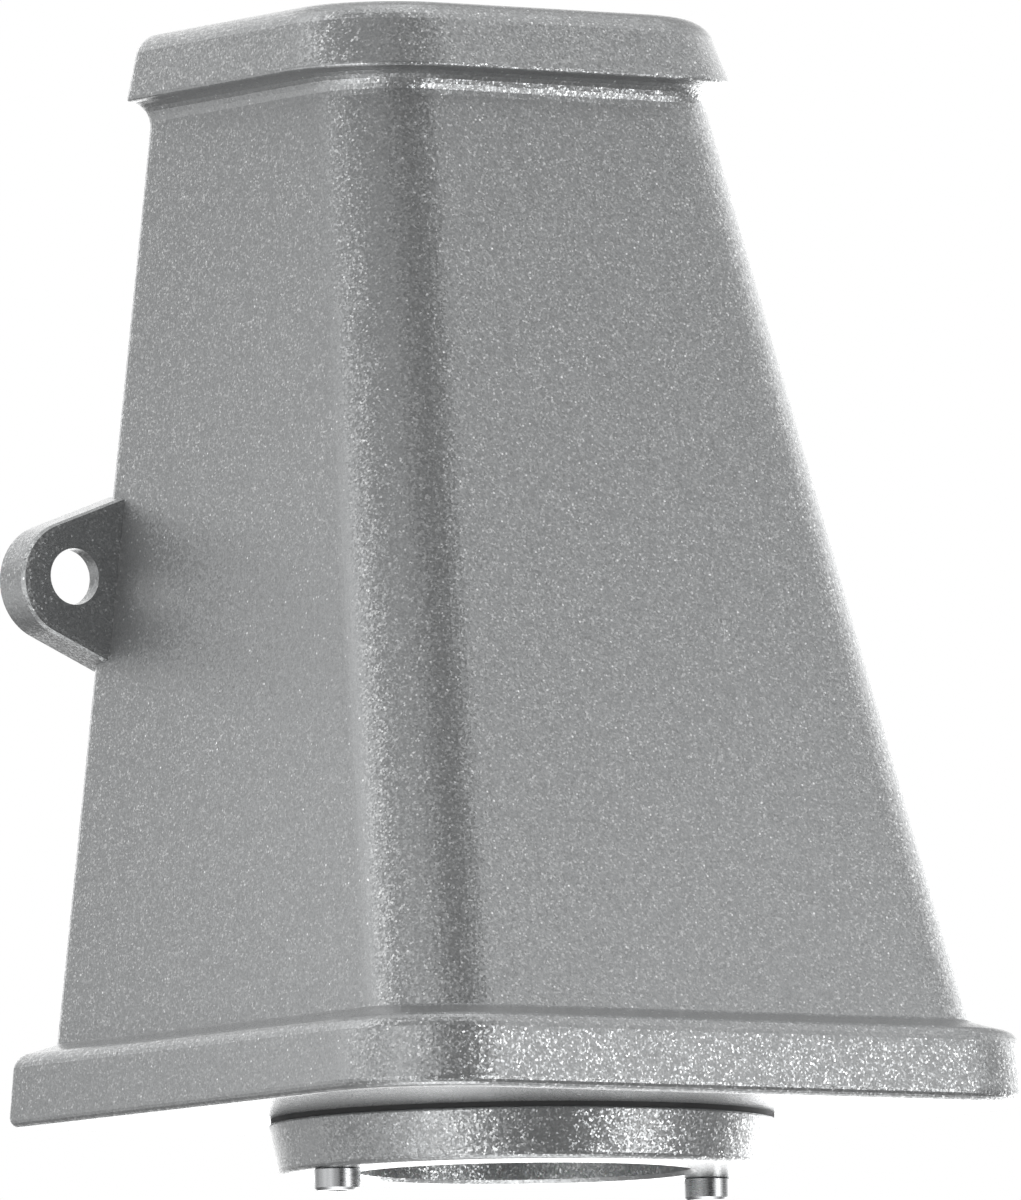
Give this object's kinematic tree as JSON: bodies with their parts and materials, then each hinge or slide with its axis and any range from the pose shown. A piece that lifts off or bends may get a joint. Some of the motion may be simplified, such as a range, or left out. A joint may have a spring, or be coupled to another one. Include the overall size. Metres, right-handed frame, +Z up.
{
  "type": "outdoor wall light",
  "caption": "Wall-mounted downlight with a tapered cast housing, a lipped roof, a flanged base, two side fixing ears and a round glazed trim ring underneath.",
  "frame": {"origin": "on the wall plane, on the centre line, level with the underside of the base flange", "axes": "+Z up, -Y is the front that faces away from the wall, +X to the right seen from the front"},
  "size_m": [0.1036, 0.0958, 0.1545],
  "materials": {
    "cast_body": "silver-grey metallic powder coat with fine sparkle",
    "ring": "silver-grey metallic powder coat with fine sparkle",
    "stainless": "bright stainless steel",
    "zinc_steel": "zinc-plated steel",
    "black_rubber": "matt black rubber",
    "clear_glass": "clear toughened glass",
    "plate": "galvanised sheet",
    "white_polyamide": "white polyamide",
    "brass": "plain brass",
    "lamp_shell": "satin aluminium reflector",
    "ceramic": "off-white ceramic",
    "brown_sleeve": "brown silicone insulation",
    "blue_sleeve": "blue silicone insulation",
    "green_sleeve": "green and yellow insulation"
  },
  "bodies": {
    "root": {"housing": "cast_body", "trim_ring": "ring", "ring_gasket": "black_rubber", "ring_screws": "stainless", "cover_glass": "clear_glass", "glass_gasket": "black_rubber", "rear_plate": "plate", "rear_gasket": "black_rubber", "rear_plate_screws": "stainless", "cable_grommet": "black_rubber", "cable_clamp": "white_polyamide", "clamp_screws": "zinc_steel", "terminal_block": "white_polyamide", "terminal_inserts": "brass", "terminal_screws": "brass", "block_screws": "zinc_steel", "lamp_body": "lamp_shell", "lamp_lens": "clear_glass", "lamp_pins": "zinc_steel", "lamp_holder": "ceramic", "holder_screws": "zinc_steel", "holder_bracket": "zinc_steel", "bracket_screws": "zinc_steel", "earth_lug": "zinc_steel", "earth_screw": "brass", "live_lead": "brown_sleeve", "neutral_lead": "blue_sleeve", "earth_lead": "green_sleeve"}
  },
  "joints": []
}
